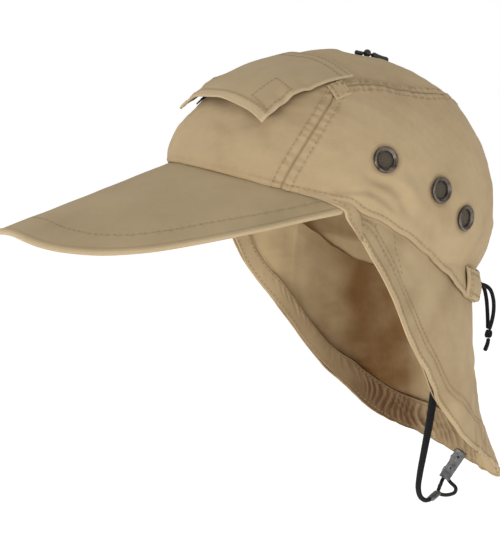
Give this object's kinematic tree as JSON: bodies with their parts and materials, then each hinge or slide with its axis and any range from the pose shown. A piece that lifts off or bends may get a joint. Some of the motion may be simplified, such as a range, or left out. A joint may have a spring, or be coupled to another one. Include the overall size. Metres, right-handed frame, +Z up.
{
  "type": "fishing hat",
  "caption": "Long-peaked cotton fishing hat with a pocket flap on the crown, vent eyelets, a hanging neck cape and a retaining cord with a spring clip.",
  "frame": {"origin": "middle of the head opening, at the height of the crown's widest line, where the wearer's head sits", "axes": "+Z up, -Y forwards along the peak, +X towards the wearer's left"},
  "size_m": [0.1674, 0.3295, 0.2853],
  "materials": {
    "khaki": "woven cotton, matt, with topstitched seams",
    "khaki_peak": "woven cotton, matt, with rows of topstitching",
    "khaki_casing": "woven cotton, matt",
    "closure_black": "looped pile, matt",
    "cord_black": "braided cord, slight sheen",
    "toggle_black": "moulded, satin",
    "eyelet_metal": "gunmetal plating, satin",
    "eyelet_screen": "fine net, matt",
    "clip_steel": "nickel plating, satin"
  },
  "bodies": {
    "hat": {"front_panel": "khaki", "top_panel": "khaki", "side_panel_left": "khaki", "eyelet_left_1": "eyelet_metal", "screen_left_1": "eyelet_screen", "eyelet_left_2": "eyelet_metal", "screen_left_2": "eyelet_screen", "eyelet_left_3": "eyelet_metal", "screen_left_3": "eyelet_screen", "side_panel_right": "khaki", "eyelet_right_1": "eyelet_metal", "screen_right_1": "eyelet_screen", "eyelet_right_2": "eyelet_metal", "screen_right_2": "eyelet_screen", "eyelet_right_3": "eyelet_metal", "screen_right_3": "eyelet_screen", "peak": "khaki_peak", "pocket_flap": "khaki_peak", "panel_patch_left": "closure_black", "flap_patch_left": "closure_black", "pocket_corner_left": "khaki", "panel_patch_right": "closure_black", "flap_patch_right": "closure_black", "pocket_corner_right": "khaki", "neck_cape": "khaki", "cape_casing": "khaki_casing", "cord_tab": "khaki", "drawcord_a": "cord_black", "drawcord_b": "cord_black", "drawcord_knot": "cord_black", "drawcord_tail": "cord_black", "leash_tab": "khaki", "leash_cord": "cord_black", "leash_crimp": "clip_steel", "leash_loop": "cord_black", "clip_plate": "clip_steel", "clip_pin": "clip_steel", "clip_spring": "clip_steel", "crown_toggle": "toggle_black", "crown_toggle_knot": "toggle_black", "crown_toggle_tail": "toggle_black"},
    "jaw": {"clip_jaw": "clip_steel"}
  },
  "joints": [
    {"name": "jaw_hinge", "type": "hinge", "parent": "hat", "child": "jaw", "pos_m": [-0.02156, 0.10568, -0.17873], "axis": [-0.5358, -0.6786, 0.5023], "range_deg": [0, 15], "stiffness_Nm_per_rad": 0.02, "springref_deg": -14.32}
  ]
}
